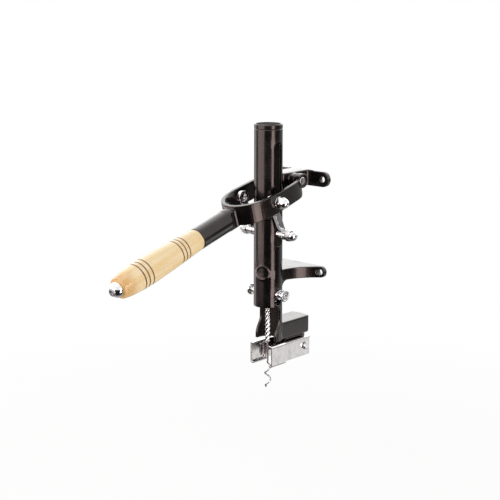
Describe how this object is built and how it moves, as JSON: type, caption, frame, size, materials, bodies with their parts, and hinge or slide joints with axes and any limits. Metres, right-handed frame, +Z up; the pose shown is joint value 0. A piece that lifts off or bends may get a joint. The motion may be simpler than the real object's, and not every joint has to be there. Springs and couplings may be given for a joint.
{
  "type": "counter mount corkscrew",
  "caption": "Lever corkscrew that mounts on a bar front, with a black barrel, a ring lever with a wooden grip, a twisted spindle, a worm and chrome bottle jaws.",
  "frame": {"origin": "on the mounting plane, midway between the two upper screw holes", "axes": "+Z up along the barrel, +Y into the wall, -Y towards the user, +X to the right seen from the front"},
  "size_m": [0.0946, 0.3117, 0.3205],
  "materials": {
    "body_casting": "glossy black enamel on the casting",
    "top_cap": "glossy black enamel",
    "lever_pivot_pin": "polished plate",
    "jaw_screw": "polished plate",
    "jaw_nut": "polished plate",
    "carrier": "turned steel",
    "spindle_bush": "turned brass",
    "cross_pin": "polished plate",
    "pin_spacers": "polished plate",
    "pin_washers": "polished plate",
    "pin_acorn_nuts": "polished plate",
    "left_link": "polished plate",
    "right_link": "polished plate",
    "lever_fork": "glossy black enamel on the casting",
    "link_screws": "polished plate",
    "link_washers": "polished plate",
    "link_acorn_nuts": "polished plate",
    "handle_rod": "drawn rod",
    "wood_grip": "lacquered pale wood with burnt grooves",
    "end_cap": "polished plate",
    "end_screw": "machined steel",
    "spindle_head": "polished plate",
    "spindle": "polished plate",
    "worm": "polished plate",
    "nut_holder": "turned steel",
    "nut_ring": "turned steel",
    "drive_nut": "turned brass",
    "holder_spring": "spring wire",
    "left_thumb_screw": "polished plate",
    "right_thumb_screw": "polished plate",
    "left_jaw": "polished plate",
    "right_jaw": "polished plate"
  },
  "bodies": {
    "barrel": {"body_casting": "body_casting", "top_cap": "top_cap", "lever_pivot_pin": "lever_pivot_pin", "jaw_screw": "jaw_screw", "jaw_nut": "jaw_nut"},
    "carriage": {"carrier": "carrier", "spindle_bush": "spindle_bush", "cross_pin": "cross_pin", "pin_spacers": "pin_spacers", "pin_washers": "pin_washers", "pin_acorn_nuts": "pin_acorn_nuts"},
    "left_link": {"left_link": "left_link"},
    "right_link": {"right_link": "right_link"},
    "lever": {"lever_fork": "lever_fork", "link_screws": "link_screws", "link_washers": "link_washers", "link_acorn_nuts": "link_acorn_nuts", "handle_rod": "handle_rod", "wood_grip": "wood_grip", "end_cap": "end_cap", "end_screw": "end_screw"},
    "screw": {"spindle_head": "spindle_head", "spindle": "spindle", "worm": "worm"},
    "holder": {"nut_holder": "nut_holder", "nut_ring": "nut_ring", "holder_spring": "holder_spring"},
    "nut": {"drive_nut": "drive_nut"},
    "left_thumb": {"left_thumb_screw": "left_thumb_screw"},
    "right_thumb": {"right_thumb_screw": "right_thumb_screw"},
    "left_jaw": {"left_jaw": "left_jaw"},
    "right_jaw": {"right_jaw": "right_jaw"}
  },
  "joints": [
    {"name": "lever_swing", "type": "hinge", "parent": "barrel", "child": "lever", "pos_m": [0, -0.0345, 0.0013], "axis": [-1, 0, 0], "range_deg": [0, 104]},
    {"name": "carrier_slide", "type": "slide", "parent": "barrel", "child": "carriage", "axis": [0, 0, 1], "range_m": [0, 0.0737]},
    {"name": "left_link_turn", "type": "hinge", "parent": "carriage", "child": "left_link", "pos_m": [-0.0235, -0.0645, -0.0587], "axis": [-1, 0, 0], "range_deg": [0, 56.6]},
    {"name": "right_link_turn", "type": "hinge", "parent": "carriage", "child": "right_link", "pos_m": [0.0235, -0.0645, -0.0587], "axis": [-1, 0, 0], "range_deg": [0, 56.6]},
    {"name": "spindle_spin", "type": "hinge", "parent": "carriage", "child": "screw", "pos_m": [0, -0.0645, -0.0707], "axis": [0, 0, 1], "range_deg": [0, 1657]},
    {"name": "holder_slide", "type": "slide", "parent": "barrel", "child": "holder", "axis": [0, 0, 1], "range_m": [-0.003, 0], "stiffness_N_per_m": 3000, "springref_m": 0.002, "deforming": ["holder_spring"]},
    {"name": "nut_slip", "type": "hinge", "parent": "holder", "child": "nut", "pos_m": [0, -0.0645, -0.1117], "axis": [0, 0, 1], "continuous": true},
    {"name": "left_thumb_turn", "type": "hinge", "parent": "holder", "child": "left_thumb", "pos_m": [-0.02, -0.0645, -0.1327], "axis": [1, 0, 0], "continuous": true},
    {"name": "right_thumb_turn", "type": "hinge", "parent": "holder", "child": "right_thumb", "pos_m": [0.02, -0.0645, -0.1327], "axis": [1, 0, 0], "continuous": true},
    {"name": "left_jaw_spread", "type": "hinge", "parent": "barrel", "child": "left_jaw", "pos_m": [-0.01, -0.0135, -0.2017], "axis": [0, 0, -1], "range_deg": [0, 8], "stiffness_Nm_per_rad": 1.5, "springref_deg": -2.86},
    {"name": "right_jaw_spread", "type": "hinge", "parent": "barrel", "child": "right_jaw", "pos_m": [0.01, -0.0135, -0.2017], "axis": [0, 0, 1], "range_deg": [0, 8], "stiffness_Nm_per_rad": 1.5, "springref_deg": -2.86}
  ],
  "couplings": [
    {"joint": "carrier_slide", "follows": "lever_swing", "m_per_rad": 0.040546},
    {"joint": "left_link_turn", "follows": "lever_swing", "ratio": 0.54278},
    {"joint": "right_link_turn", "follows": "lever_swing", "ratio": 0.54278},
    {"joint": "spindle_spin", "follows": "lever_swing", "ratio": 15.922}
  ]
}
